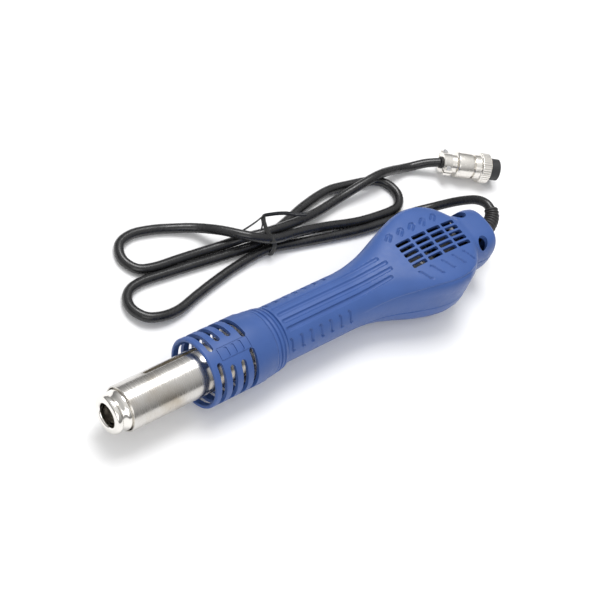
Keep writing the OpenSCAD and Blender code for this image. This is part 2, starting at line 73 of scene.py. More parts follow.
def make_camera():
    data = bpy.data.cameras.new("camera")
    data.lens = CAMERA_LENS
    data.sensor_width = 36
    data.clip_start = 0.01
    cam = bpy.data.objects.new("camera", data)
    back = Vector(CAMERA_BACK).normalized()
    up = back.cross(Vector(CAMERA_RIGHT)).normalized()
    right = up.cross(back)
    turn = Matrix((right, up, back)).transposed().to_4x4()
    cam.matrix_world = Matrix.Translation(CAMERA_AT) @ turn
    scene.collection.objects.link(cam)
    scene.camera = cam


make_camera()


# ---- Mesh helpers ----

def add_object(name, data, body, nodes, material):
    """A visual piece that takes the place of its CAD nodes and rides one body."""
    ob = bpy.data.objects.new(name, data)
    scene.collection.objects.link(ob)
    data.materials.append(material)
    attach(ob, body)
    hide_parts(*nodes)
    return ob


def cad(name):
    return bpy.data.objects[name]


def mesh_from(name, verts, faces):
    me = bpy.data.meshes.new(name)
    me.from_pydata([tuple(v) for v in verts], [], faces)
    me.validate()
    return me


def outward(me):
    """Turns all face normals to the outside."""
    bm = bmesh.new()
    bm.from_mesh(me)
    bmesh.ops.recalc_face_normals(bm, faces=bm.faces)
    bm.to_mesh(me)
    bm.free()


def smooth(me, angle):
    """Smooth shading that keeps edges sharper than the angle in degrees."""
    me.shade_smooth()
    me.set_sharp_from_angle(angle=math.radians(angle))


def grid_faces(rings, n):
    """Faces between rings of n points each, with both ends closed."""
    faces = []
    for i in range(rings - 1):
        for j in range(n):
            k = (j + 1) % n
            faces.append((i * n + j, i * n + k, (i + 1) * n + k, (i + 1) * n + j))
    faces.append(tuple(reversed(range(n))))
    faces.append(tuple((rings - 1) * n + j for j in range(n)))
    return faces


def frame_on(axis, origin):
    """A matrix whose +Z is the axis and whose +X is as near to up as it can be."""
    z = Vector(axis).normalized()
    x = Vector((0, 0, 1)) - z * z.z
    x.normalize()
    y = z.cross(x)
    return Matrix.Translation(origin) @ Matrix((x, y, z)).transposed().to_4x4()


TUBE_FRAME = frame_on((-1, 0, 0), along(0))
PLUG_FRAME = frame_on((math.cos(PLUG_HEADING), math.sin(PLUG_HEADING), 0), spot(*PLUG_AT))


def lathe_data(profile, matrix, segments, ripple):
    """A closed ring section of (station, radius) points, turned about the frame's +Z.
    ripple(station, radius, angle) is added to the radius."""
    verts, faces = [], []
    n = len(profile)
    for j in range(segments):
        a = 2 * math.pi * j / segments
        for s, r in profile:
            if ripple:
                r += ripple(s, r, a)
            verts.append(matrix @ (Vector((r * math.cos(a), r * math.sin(a), s)) * MM))
    for j in range(segments):
        k = (j + 1) % segments
        for i in range(n):
            m = (i + 1) % n
            faces.append((j * n + i, k * n + i, k * n + m, j * n + m))
    return verts, faces


def rounded(profile, radius, steps=3):
    """The same section with its corners rounded, apart from those that are nearly straight."""
    straight, share = -0.97, 0.4
    out = []
    n = len(profile)
    for i in range(n):
        p, q, r = (Vector(profile[i - 1]), Vector(profile[i]), Vector(profile[(i + 1) % n]))
        a, b = p - q, r - q
        if a.normalized().dot(b.normalized()) < straight:
            out.append(tuple(q))
            continue
        cut = min(radius, a.length * share, b.length * share)
        start, end = q + a.normalized() * cut, q + b.normalized() * cut
        for k in range(steps + 1):
            t = k / steps
            out.append(tuple((1 - t) ** 2 * start + 2 * t * (1 - t) * q + t * t * end))
    return out


def lathe(name, profile, matrix, segments, radius, ripple=None):
    me = mesh_from(name, *lathe_data(rounded(profile, radius), matrix, segments, ripple))
    outward(me)
    smooth(me, 40)
    return me


def subtract(ob, cutters):
    """Cuts a mesh (vertices and faces) out of an object and keeps the result."""
    me = mesh_from("cutter", *cutters)
    outward(me)
    tool = bpy.data.objects.new("cutter", me)
    scene.collection.objects.link(tool)
    mod = ob.modifiers.new("cut", "BOOLEAN")
    mod.object = tool
    mod.operation = "DIFFERENCE"
    mod.solver = "EXACT"
    bpy.context.view_layer.update()
    result = bpy.data.meshes.new_from_object(ob.evaluated_get(bpy.context.evaluated_depsgraph_get()))
    ob.modifiers.clear()
    old = ob.data
    ob.data = result
    bpy.data.meshes.remove(old)
    bpy.data.objects.remove(tool)
    bpy.data.meshes.remove(me)


def joined(*parts):
    """Several meshes as one, each given as its vertices and faces."""
    verts, faces = [], []
    for v, f in parts:
        base = len(verts)
        verts += [tuple(p) for p in v]
        faces += [tuple(base + i for i in face) for face in f]
    return verts, faces


def prism(outline, low, high, matrix):
    """An outline in the matrix's XY plane, drawn out along its Z. All in millimetres."""
    n = len(outline)
    verts = [matrix @ (Vector((x, y, z)) * MM) for z in (low, high) for x, y in outline]
    return verts, grid_faces(2, n)


def circle(radius, count):
    return [(radius * math.cos(2 * math.pi * k / count), radius * math.sin(2 * math.pi * k / count))
            for k in range(count)]


def stadium(length, width, steps=8):
    """A slot outline with half round ends."""
    r, half = width / 2, length / 2 - width / 2
    right = [(half + r * math.cos(a), r * math.sin(a))
             for a in (math.pi * (k / steps - 0.5) for k in range(steps + 1))]
    return right + [(-x, -y) for x, y in right]


def round_slot(length, width, r, steps=4):
    """A rectangle with rounded corners."""
    x, y = length / 2 - r, width / 2 - r
    outline = []
    for quarter, (cx, cy) in enumerate([(x, y), (-x, y), (-x, -y), (x, -y)]):
        for k in range(steps + 1):
            a = math.pi / 2 * (quarter + k / steps)
            outline.append((cx + r * math.cos(a), cy + r * math.sin(a)))
    return outline


def catmull(points, steps):
    """A smooth path through all the points."""
    p = [Vector(q) for q in points]
    out = []
    for i in range(len(p) - 1):
        a, b, c, d = p[max(i - 1, 0)], p[i], p[i + 1], p[min(i + 2, len(p) - 1)]
        for k in range(steps):
            t = k / steps
            out.append(0.5 * (2 * b + (c - a) * t + (2 * a - 5 * b + 4 * c - d) * t * t
                              + (3 * b - a - 3 * c + d) * t ** 3))
    return out + [p[-1]]


def sweep(path, section, twist_up=(0, 0, 1)):
    """A closed tube along a path. section(t) gives its outline, with t from 0 to 1 along the path."""
    side = None
    verts = []
    total = len(path)
    n = 0
    for i, p in enumerate(path):
        d = (path[min(i + 1, total - 1)] - path[max(i - 1, 0)]).normalized()
        if side is None:
            side = d.cross(Vector(twist_up)).normalized()
        side = (side - d * side.dot(d)).normalized()
        up = d.cross(side)
        outline = section(i / (total - 1))
        n = len(outline)
        verts += [(p + side * x + up * y) * MM for x, y in outline]
    return verts, grid_faces(total, n)


# ---- Materials ----

class Look:
    """A node material that is built up step by step."""

    # Nearly all of a noise texture's values lie between these
    NOISE_LOW, NOISE_HIGH = 0.3, 0.7

    def __init__(self, name, color, rough, metal=0.0, spec=0.5):
        self.mat = bpy.data.materials.new(name)
        self.mat.use_nodes = True
        self.nodes, self.links = self.mat.node_tree.nodes, self.mat.node_tree.links
        self.shader = self.nodes["Principled BSDF"]
        self.set("Base Color", (*color, 1))
        self.set("Roughness", rough)
        self.set("Metallic", metal)
        self.set("Specular IOR Level", spec)
        self.coords = self.nodes.new("ShaderNodeTexCoord")
        self.normal = None

    def set(self, key, value):
        self.shader.inputs[key].default_value = value

    def noise(self, scale, detail, stretch=(1, 1, 1)):
        place = self.nodes.new("ShaderNodeMapping")
        place.inputs["Scale"].default_value = stretch
        self.links.new(self.coords.outputs["Object"], place.inputs["Vector"])
        tex = self.nodes.new("ShaderNodeTexNoise")
        tex.inputs["Scale"].default_value = scale
        tex.inputs["Detail"].default_value = detail
        self.links.new(place.outputs["Vector"], tex.inputs["Vector"])
        return tex.outputs["Fac"]

    def ramp(self, value, stops):
        node = self.nodes.new("ShaderNodeValToRGB")
        ramp = node.color_ramp
        while len(ramp.elements) < len(stops):
            ramp.elements.new(0.5)
        for element, (at, color) in zip(ramp.elements, stops):
            element.position = at
            element.color = (*color, 1)
        self.links.new(value, node.inputs["Fac"])
        return node.outputs["Color"]

    def tint(self, value, stops):
        self.links.new(self.ramp(value, stops), self.shader.inputs["Base Color"])

    def tint_between(self, value, low, high):
        self.tint(value, [(self.NOISE_LOW, low), (self.NOISE_HIGH, high)])

    def vary_rough(self, value, low, high):
        node = self.nodes.new("ShaderNodeMapRange")
        node.inputs["From Min"].default_value = self.NOISE_LOW
        node.inputs["From Max"].default_value = self.NOISE_HIGH
        node.inputs["To Min"].default_value = low
        node.inputs["To Max"].default_value = high
        self.links.new(value, node.inputs["Value"])
        self.links.new(node.outputs["Result"], self.shader.inputs["Roughness"])

    def bump(self, value, depth, strength):
        node = self.nodes.new("ShaderNodeBump")
        node.inputs["Distance"].default_value = depth
        node.inputs["Strength"].default_value = strength
        self.links.new(value, node.inputs["Height"])
        if self.normal:
            self.links.new(self.normal, node.inputs["Normal"])
        self.normal = node.outputs["Normal"]
        self.links.new(self.normal, self.shader.inputs["Normal"])


def shade(color, k):
    """The colour made k times as bright."""
    return tuple(min(1.0, c * k) for c in color)


def moulded(name, color, rough, grain=2600, depth=0.00006, spread=0.06, spec=0.5):
    """Plastic with a fine grain, faint patches and a very slight waviness."""
    look = Look(name, color, rough, spec=spec)
    look.tint_between(look.noise(60, 4), shade(color, 1 - spread), shade(color, 1 + spread))
    look.vary_rough(look.noise(420, 3), rough - 0.05, rough + 0.07)
    look.bump(look.noise(grain, 2), depth, 0.5)
    look.bump(look.noise(90, 2), 0.00008, 0.25)
    return look.mat


def metal(name, color, rough, streak=(1, 1, 1), grain=900, depth=0.00001):
    """Metal with fine scratches, drawn out where streak is unequal."""
    spread = 0.08
    look = Look(name, color, rough, metal=1.0)
    look.tint_between(look.noise(70, 5), shade(color, 1 - spread), shade(color, 1 + spread * 0.6))
    look.vary_rough(look.noise(grain, 4, streak), rough * 0.75, rough * 1.35)
    look.bump(look.noise(grain * 1.4, 3, streak), depth, 0.5)
    return look.mat


def rubbery(name, color, rough, depth=0.00005):
    """Dull flexible plastic or rubber."""
    look = Look(name, color, rough)
    look.tint_between(look.noise(150, 4), shade(color, 0.7), shade(color, 1.5))
    look.vary_rough(look.noise(700, 3), rough - 0.08, rough + 0.1)
    look.bump(look.noise(1500, 2), depth, 0.25)
    return look.mat


BLUE = (0.050, 0.108, 0.320)
shell_blue = moulded("shell_blue_look", BLUE, 0.40, spec=0.34)
guard_blue = moulded("guard_blue_look", shade(BLUE, 0.96), 0.42, spec=0.34)


def steel_look():
    """Turned steel with soft brown heat stains and fine rings round the tube."""
    bare, dull, stained = (0.66, 0.645, 0.62), (0.60, 0.58, 0.55), (0.46, 0.41, 0.34)
    look = Look("tube_steel_look", (0.74, 0.72, 0.69), 0.16, metal=1.0)
    look.tint(look.noise(38, 4), [(0.36, bare), (0.54, dull), (0.70, stained)])
    rings = (1, 0.06, 0.06)
    look.vary_rough(look.noise(1800, 3, rings), 0.19, 0.30)
    look.bump(look.noise(2600, 2, rings), 0.000006, 0.35)
    return look.mat


tube_steel = steel_look()
collar_nickel = metal("collar_nickel_look", (0.82, 0.80, 0.76), 0.12, (1, 0.3, 0.3))
plug_nickel = metal("plug_nickel_look", (0.88, 0.85, 0.80), 0.22, grain=1400, depth=0.000004)
screw_steel = metal("screw_steel_look", (0.58, 0.58, 0.59), 0.3)
cord_black = rubbery("cord_black_look", (0.012, 0.012, 0.013), 0.27, 0.00002)
relief_black = rubbery("relief_black_look", (0.022, 0.021, 0.021), 0.5)
tie_black = rubbery("tie_black_look", (0.020, 0.020, 0.020), 0.35, 0.00003)
insert_black = moulded("insert_black_look", (0.022, 0.022, 0.024), 0.5, spread=0.2)
socket_black = moulded("socket_black_look", (0.03, 0.03, 0.03), 0.6, spread=0.2)
fan_black = moulded("fan_black_look", (0.02, 0.02, 0.022), 0.5, spread=0.2)
pin_brass = metal("pin_brass_look", (0.75, 0.58, 0.28), 0.25)


# ---- Cord, tie and plug ----

CORD_ROUTE = [
    (-131.6, -7.8, 25.6), (-132, -12.6, 25.4), (-130.8, -18, 22.6), (-128.2, -23.2, 17.2),
    (-124.4, -27.8, 11.4), (-119, -31.6, 6.6), (-112, -34.4, 3.8), (-103.5, -36, 2.7),
    (-92, -36.6, 2.5), (-72, -38.6, 2.5),
    (-52, -42.4, 2.5), (-35, -46, 2.6), (-17, -49.4, 3), (2, -48.2, 2.6), (20, -45, 2.5),
    (34, -41.8, 2.5), (45.6, -38.8, 3), (56, -38.6, 4), (64, -41.8, 4.2), (67.2, -49.8, 3.4),
    (63.6, -57.4, 2.6), (55, -60.4, 2.5), (38, -59.2, 2.5), (20, -57.4, 2.5), (0, -55.6, 2.5),
    (-17, -55, 3), (-36, -59.6, 2.5), (-54, -64.6, 2.5), (-72, -67.4, 2.5), (-87, -65.6, 2.5),
    (-100.6, -62.7, 2.5), (-107.3, -58.2, 2.5), (-109.2, -50.4, 2.5), (-105.2, -43.7, 2.5),
    (-97.4, -41.5, 2.5), (-76, -43.4, 2.5), (-54, -47.6, 4.5), (-35, -49.4, 7.4), (-19, -50.4, 9.6),
    (-6, -55.6, 12.6),
    (3, -66, 9.6), (11, -75.4, 4.6), (22, -81.6, 2.6), (32, -85, 2.5), (42.4, -86.6, 2.5),
    (51, -83.8, 2.5), (54.6, -75.8, 2.5), (51.2, -68, 2.5), (42.6, -65, 2.5), (30, -64, 2.5),
    (16, -62.8, 2.5), (2, -61, 3.6), (-8, -58.4, 7), (-18, -55.8, 8.8), (-36, -55, 7.8),
    (-55, -57, 4.5), (-74, -59.4, 5), (-88, -60.2, 7.6), (-101, -61, 9), (-112, -61.8, 6.6),
    (-126, -61.4, 3.4), (-136, -57.8, 6.4), PLUG_AT]
TIE_ROUTE = [
    (-43, -54, 13), (-38, -57, 12), (-33, -60, 12), (-26, -62, 12.5), (-19, -62, 14),
    (-17, -58.6, 12.4), (-17, -57.9, 8), (-17, -57.9, 3), (-17, -55.6, 0.6), (-17, -48.4, 0.6),
    (-17, -46.3, 3), (-17, -46.3, 9), (-17, -48.6, 11.6), (-17.6, -55, 11.8), (-18.4, -59, 12.8),
    (-18.6, -61.4, 14.6), (-14, -60.8, 13.8), (-8, -60, 13), (-2, -59.4, 12.6)]
RELIEF_ROUTE = [(-115.75, 0, 22), (-120, 0, 22.1), (-124.2, -1, 22.8), (-127.8, -2.8, 23.8),
                (-130.2, -5, 24.8), (-131.6, -7.8, 25.6)]


def make_cord():
    """The free cord as one round tube, and its length along the route."""
    path = catmull(CORD_ROUTE, 6)
    length = sum((b - a).length for a, b in zip(path, path[1:])) * MM
    curve = bpy.data.curves.new("cord_line", "CURVE")
    curve.dimensions = "3D"
    curve.bevel_depth = CORD_D / 2 * MM
    curve.bevel_resolution = 7
    curve.use_fill_caps = True
    spline = curve.splines.new("POLY")
    spline.points.add(len(path) - 1)
    for point, p in zip(spline.points, path):
        point.co = (*(p * MM), 1)
    spline.use_smooth = True
    ob = add_object("cord_line", curve, "handpiece", ["cord"], cord_black)
    return ob, length


def make_relief():
    """A ribbed boot that narrows towards the cord."""
    path = catmull(RELIEF_ROUTE, 22)
    start_r, taper, ribs, rib_depth = 4.75, 1.15, 11.5, 0.6

    def ring(t):
        rib = 0.5 + 0.5 * math.cos(2 * math.pi * t * ribs)
        valley = rib_depth * (1 - min(1, 1.6 * rib)) if 0.2 < t < 0.97 else 0
        return circle(start_r - taper * t - valley, 40)

    me = mesh_from("relief_boot", *sweep(path, ring))
    outward(me)
    smooth(me, 50)
    return add_object("relief_boot", me, "handpiece", ["strain_relief"], relief_black)


def make_tie():
    """A flat plastic ribbon with a wire down its middle, wound round the bundle."""
    path = catmull(TIE_ROUTE, 8)
    wide, thin, core = 1.0, 0.13, 0.36
    below = [(-wide, -thin), (-core, -thin), (-0.6 * core, -core), (0.6 * core, -core), (core, -thin),
             (wide, -thin)]
    ribbon = below + [(-x, -y) for x, y in below]

    me = mesh_from("tie_ribbon", *sweep(path, lambda t: ribbon, (1, 0, 0.1)))
    for v in me.vertices:
        v.co.z = max(v.co.z, 0.05 * MM)  # The twisted ribbon stays above the floor
    outward(me)
    smooth(me, 50)
    return add_object("tie_ribbon", me, "handpiece", ["cord_tie"], tie_black)


def make_plug():
    """The plug's nickel shell and its knurled coupling ring."""
    shell = [(6.0, 4.5), (6.0, 5.2), (8.6, 5.2), (9.0, 6.5), (9.6, 7.1), (17.9, 7.1), (18.4, 6.7),
             (18.4, 6.1), (28.0, 6.1), (28.0, 5.25), (11.6, 5.25), (11.6, 4.5)]
    me = lathe("plug_barrel", shell, PLUG_FRAME, 160, 0.3)
    barrel = add_object("plug_barrel", me, "handpiece", ["plug_shell"], plug_nickel)

    def knurl(s, r, a):
        notches, depth = 36, 0.22
        return -depth * max(0.0, math.cos(notches * a)) ** 2 if r > 7.6 and 23.3 < s < 28.3 else 0.0

    ring = [(19.4, 6.15), (19.4, 6.9), (22.6, 7.0), (23.0, 7.9), (23.4, 8.3), (25.8, 8.3), (28.2, 8.3),
            (28.4, 8.1), (28.4, 7.4), (24.2, 7.4), (23.8, 6.15)]
    me = lathe("plug_nut", ring, PLUG_FRAME, 288, 0.2, knurl)
    nut = add_object("plug_nut", me, "coupling_ring", ["plug_ring"], plug_nickel)
    return barrel, nut


cord_ob, cord_length = make_cord()
relief = make_relief()
tie = make_tie()
barrel, nut = make_plug()


# ---- Housing ----

# The ribbed round collar, as rows of station and radius
COLLAR = [(77.0, 15.8), (77.5, 16.2), (78.6, 16.2), (79.0, 15.5), (79.5, 15.4), (79.9, 16.0), (80.9, 16.0),
          (81.3, 15.3), (81.8, 15.2), (82.2, 15.7), (83.2, 15.5), (83.9, 14.9)]
# Rows of station, half width, top, bottom, squareness below and squareness above
BODY = [
    (HANDLE_FRONT, 14.5, 15.7, 13.3, 2.0, 2.0), (130, 14.5, 15.7, 13.3, 2.0, 2.0),
    (138, 14.9, 16.1, 13.8, 2.1, 2.15),
    (146, 16.0, 17.0, 14.9, 2.3, 2.6), (154, 18.0, 18.2, 16.1, 2.5, 3.1), (162, 20.7, 19.2, 16.9, 2.7, 4.0),
    (170, 23.2, 19.9, 17.2, 2.9, 5.4), (178, 25.2, 20.2, 17.2, 3.0, 6.6), (185, 26.0, 20.2, 17.2, 3.0, 7.0),
    (191, 25.5, 20.0, 17.2, 3.0, 7.0), (197, 23.4, 19.5, 17.0, 3.0, 6.2), (203, 19.8, 18.8, 16.0, 2.9, 4.8),
    (207, 16.2, 18.2, 14.6, 2.8, 3.6), (210, 13.4, 17.8, 13.4, 2.7, 3.0), (213, 13.9, 17.9, 13.2, 2.7, 3.0),
    (219, 14.3, 17.8, 13.2, 2.7, 3.0), (223.5, 13.6, 17.2, 12.6, 2.6, 3.0),
    (225.3, 12.2, 16.2, 11.6, 2.5, 2.8), (TAIL_END, 10.5, 14.8, 10.2, 2.4, 2.6)]
RISE = 1.2  # How far the widest line lies above the tube's axis
WALL = 2
AROUND = 420
SEAM_SLOPE = math.tan(SEAM_TILT)


def body_row(s):
    """The housing's section at a station, on a smooth curve through the rows."""
    i = max(k for k in range(len(BODY) - 1) if BODY[k][0] <= s or k == 0)
    a, b = BODY[i], BODY[i + 1]
    before, after = BODY[max(i - 1, 0)], BODY[min(i + 2, len(BODY) - 1)]
    h = b[0] - a[0]
    t = min(1.0, max(0.0, (s - a[0]) / h))
    row = []
    for k in range(1, 6):
        slope = (b[k] - a[k]) / h
        left = (a[k] - before[k]) / (a[0] - before[0]) if i > 0 else slope
        right = (after[k] - b[k]) / (after[0] - b[0]) if i < len(BODY) - 2 else slope
        m0 = 0.0 if left * slope <= 0 else 2 * left * slope / (left + slope)
        m1 = 0.0 if right * slope <= 0 else 2 * right * slope / (right + slope)
        row.append((2 * t ** 3 - 3 * t * t + 1) * a[k] + (t ** 3 - 2 * t * t + t) * h * m0
                   + (3 * t * t - 2 * t ** 3) * b[k] + (t ** 3 - t * t) * h * m1)
    return row


def seam_height(s):
    return SEAM_AT[1] + (s - SEAM_AT[0]) * SEAM_SLOPE


def squared(v, n):
    """A sine or cosine bent towards a square; n is 2 for a true ellipse."""
    return math.copysign(abs(v) ** (2 / n), v)


def section_points(width, top, bottom, below, above, rise, count):
    """Points spaced evenly along a squared ellipse, from +Y round over the top."""
    fine, fine_count = [], 1440
    for k in range(fine_count):
        a = 2 * math.pi * k / fine_count
        up, n = (top - rise, above) if math.sin(a) > 0 else (bottom + rise, below)
        fine.append((width * squared(math.cos(a), n), rise + up * squared(math.sin(a), n)))
    lengths = [0.0]
    for p, q in zip(fine, fine[1:] + fine[:1]):
        lengths.append(lengths[-1] + math.dist(p, q))
    out, i = [], 0
    for k in range(count):
        want = lengths[-1] * k / count
        while lengths[i + 1] < want:
            i += 1
        t = (want - lengths[i]) / max(1e-9, lengths[i + 1] - lengths[i])
        p, q = fine[i], fine[(i + 1) % len(fine)]
        out.append((p[0] + (q[0] - p[0]) * t, p[1] + (q[1] - p[1]) * t))
    return out


def to_segment(p, a, b):
    """How far the point p is from the line between a and b."""
    d = (b[0] - a[0], b[1] - a[1])
    t = ((p[0] - a[0]) * d[0] + (p[1] - a[1]) * d[1]) / (d[0] ** 2 + d[1] ** 2)
    t = min(1.0, max(0.0, t))
    return math.dist(p, (a[0] + d[0] * t, a[1] + d[1] * t))


def to_path(p, path):
    return min(to_segment(p, a, b) for a, b in zip(path, path[1:]))


def fade(v, low, high):
    """0 below low, 1 above high, and a straight climb between them."""
    return min(1.0, max(0.0, (v - low) / (high - low)))


def groove(distance, half_width, depth):
    """A groove with a nearly flat floor and steep sides."""
    if distance >= half_width:
        return 0.0
    t = distance / half_width
    return depth * (1 - t ** 4)


def head_marks():
    """Bent strokes on the near side of the grille, and rounded drops on its far side."""
    first, pitch, aside = 166.7, 7.7, 13.3
    stroke = [(-1.3, -2.7), (-0.5, -2.1), (1.9, 3.0), (2.7, 3.4)]
    drop = [(-2.2, -1.1), (1.0, -1.1), (1.7, -0.8), (2.1, 0), (1.7, 0.8), (1.0, 1.1), (-2.2, 1.1)]
    marks = []
    for k in range(5):
        s0 = first + pitch * k
        marks.append([(s0 + s, aside + y) for s, y in stroke])
        marks.append([(s0 - 2.2 + 0.77 * t + 0.64 * w, 0.3 - aside - 0.64 * t + 0.77 * w) for t, w in drop])
    return marks


def grip_marks():
    """Short bent strokes along both sides of the handle, by station and distance round from the top."""
    first, pitch = 86.5, 6.07
    return [[(first + pitch * k - 0.5, 11.2), (first + pitch * k, 12), (first + pitch * k, 16.6),
             (first + pitch * k + 0.8, 17.6)] for k in range(7)]


LONG_GROOVES = [[(86.6, y), (153.6 if abs(y) < 4 else 151.0, y)] for y in (-6, -2, 2, 6)]
GRIP_MARKS = grip_marks()
HEAD_MARKS = head_marks()


def ledge_depth(s, y, z, half):
    """The head's side walls stand back a little from the edge of its top plate."""
    share = fade(abs(y) - 0.87 * half, 0, 0.35) * fade(s, 128, 150) * (1 - fade(s, 204, 211))
    return 0.6 * share * fade(z, -1, 10)


def detail_depth(s, y, z, arc, half):
    """How far the moulded detail sinks below the plain surface. arc is the distance round from the top."""
    depths = [0.0]
    if s > HANDLE_FRONT + 0.3:
        depths.append(groove(abs(z - seam_height(s)), 0.42, 0.34))
    if s > 128:
        depths.append(ledge_depth(s, y, z, half))
    if z > 6 and s < 158:
        depths += [groove(to_path((s, y), path), 1.1, 0.9) for path in LONG_GROOVES]
    if z > 0 and s < 130:
        depths += [groove(to_path((s, arc), path), 0.65, 0.75) for path in GRIP_MARKS]
    if z > 10 and 162 < s < 202:
        near = [path for path in HEAD_MARKS if abs(s - path[1][0]) < 6]
        depths += [groove(to_path((s, y), path), 0.55, 0.75) for path in near]
    return max(depths)


def housing_surface():
    """The outside of both shells as rings of points, with the moulded detail sunk into them."""
    rows = []
    for s, r in COLLAR:
        rows.append((s, section_points(r, r, r, 2, 2, 0.0, AROUND), False))
    s = HANDLE_FRONT
    while s < TAIL_END:
        rows.append((s, section_points(*body_row(s), RISE, AROUND), True))
        s += 0.5 if s < TAIL_END - 3 else 0.2
    rows.append((TAIL_END, section_points(*body_row(TAIL_END), RISE, AROUND), False))
    verts = []
    for s, points, carved in rows:
        arc_step = sum(math.dist(points[k], points[k - 1]) for k in range(AROUND)) / AROUND
        for k, (y, z) in enumerate(points):
            if carved:
                arc = abs(k - AROUND / 4) * arc_step
                depth = detail_depth(s, y, z, arc, points[0][0])
                if depth:
                    p, q = points[k - 1], points[(k + 1) % AROUND]
                    t = Vector((q[0] - p[0], q[1] - p[1])).normalized()
                    y, z = y - t.y * depth, z + t.x * depth
            verts.append(along(s, y, z))
    return verts, grid_faces(len(rows), AROUND)


def hollow_surface():
    """The hollow inside both shells, with its faces turned inwards."""
    count = 96
    rows = [(78.5, section_points(12.6, 12.6, 12.6, 2, 2, 0.0, count)),
            (84.0, section_points(12.6, 13.4, 11.4, 2, 2, RISE, count))]
    for s, w, top, bottom, below, above in BODY[1:-2]:
        rows.append((s, section_points(w - WALL, top - WALL, bottom - WALL, below, above, RISE, count)))
    verts = [along(s, y, z) for s, points in rows for y, z in points]
    return verts, [tuple(reversed(f)) for f in grid_faces(len(rows), count)]


def half_shell(whole, name, above):
    """One side of the seam plane, with the cut face closed."""
    bm = bmesh.new()
    bm.from_mesh(whole)
    gap = 0.03 * MM * (1 if above else -1)
    origin = along(SEAM_AT[0], 0, SEAM_AT[1]) + Vector((0, 0, gap))
    normal = Vector((math.sin(SEAM_TILT), 0, math.cos(SEAM_TILT)))
    cut = bmesh.ops.bisect_plane(bm, geom=bm.verts[:] + bm.edges[:] + bm.faces[:], plane_co=origin,
                                 plane_no=normal, clear_inner=above, clear_outer=not above)
    edges = [e for e in cut["geom_cut"] if isinstance(e, bmesh.types.BMEdge)]
    bmesh.ops.triangle_fill(bm, edges=edges, use_beauty=True)
    me = bpy.data.meshes.new(name)
    bm.to_mesh(me)
    bm.free()
    return me


def screw_wells():
    return [prism(circle(3, 40), 7, 22, Matrix.Translation(along(214.2, side * 9.6))) for side in (-1, 1)]


def cord_hole():
    return prism(circle(4.6, 48), TAIL_END - 8, TAIL_END + 4, frame_on((-1, 0, 0), along(0, 0, 4.8)))


def vents():
    """The grille over the fan: four columns of five slots."""
    middle, column_pitch, row_pitch = 184.7, 10.6, 3.4
    cutters = []
    for column in range(4):
        for row in range(5):
            at = along(middle + (column - 1.5) * column_pitch, (row - 2) * row_pitch)
            cutters.append(prism(round_slot(9.2, 2.3, 0.7), 12, 24, Matrix.Translation(at)))
    return cutters


def make_housing():
    """Both shells as one hollow body with its openings, split along the seam."""
    outer = mesh_from("outer", *housing_surface())
    outward(outer)
    inner = mesh_from("inner", *hollow_surface())
    outward(inner)
    inner.flip_normals()
    bm = bmesh.new()
    bm.from_mesh(outer)
    bm.from_mesh(inner)
    whole = bpy.data.meshes.new("whole")
    bm.to_mesh(whole)
    bm.free()
    body = bpy.data.objects.new("whole", whole)
    scene.collection.objects.link(body)
    subtract(body, joined(*vents(), *screw_wells(), cord_hole()))
    for name, node, above in (("shell_top", "upper_shell", True), ("shell_base", "lower_shell", False)):
        me = half_shell(body.data, name, above)
        smooth(me, 38)
        add_object(name, me, "handpiece", [node], shell_blue)
    bpy.data.objects.remove(body)


make_housing()

# ---- Guard, tube and tip ----

def ring_cutter(start, end, at, width, low=14.2, high=18.6, round_ends=True):
    """A slot that runs round the guard between two angles in degrees."""
    half, middle_r, steps = width / 2, 16.6, 8
    tip = math.degrees(half / middle_r)
    quarter = [(math.sin(math.pi / 2 * k / steps), math.cos(math.pi / 2 * k / steps))
               for k in range(steps + 1)]
    count = max(2, int(abs(end - start) / 2.5))
    stops = [(start + (end - start) * k / count, half) for k in range(count + 1)]
    if round_ends:
        stops = ([(start - tip * c, half * s) for s, c in quarter[:-1]] + stops
                 + [(end + tip * s, half * c) for s, c in quarter[1:]])
    verts = []
    for angle, h in stops:
        h = max(h, 0.02)
        for r, z in ((low, at - h), (high, at - h), (high, at + h), (low, at + h)):
            a = math.radians(angle)
            verts.append(TUBE_FRAME @ (Vector((r * math.cos(a), r * math.sin(a), z)) * MM))
    return verts, grid_faces(len(stops), 4)


def guard_slots():
    """Four rows of slots round the guard. Those of the middle rows are shorter, beside the framed bars."""
    cutters = []
    for row in range(4):
        start = 15 if row in (0, 3) else 26
        at = GUARD_FRONT + 4.4 + 6.15 * row
        for base, reach in ((0, 86), (180, 75)):
            for side in (-1, 1):
                a, b = sorted((side * start, side * reach))
                cutters.append(ring_cutter(GUARD_TURN + base + a, GUARD_TURN + base + b, at, 2.9))
    return cutters


def guard_frame():
    """A sunken outline with three plain bars, between the front and back rows of slots."""
    floor_r, outside_r = 16.95, 18.6
    start, end = GUARD_FRONT + 6.6, GUARD_FRONT + 23.4
    reach, line = 10, 0.85
    parts = []
    for at in (start, end):
        parts.append(ring_cutter(GUARD_TURN - reach, GUARD_TURN + reach, at, 0.5, floor_r, outside_r, False))
    for k in range(3):
        at = GUARD_FRONT + 9.6 + 4.0 * k + 1.4
        parts.append(ring_cutter(GUARD_TURN - 5.5, GUARD_TURN + 5.5, at, 1.7, floor_r - 0.15, outside_r))
    for side in (-1, 1):
        angle = GUARD_TURN + side * reach
        parts.append(ring_cutter(angle - line, angle + line, (start + end) / 2, end - start - 0.9,
                                 floor_r, outside_r, False))
    return parts


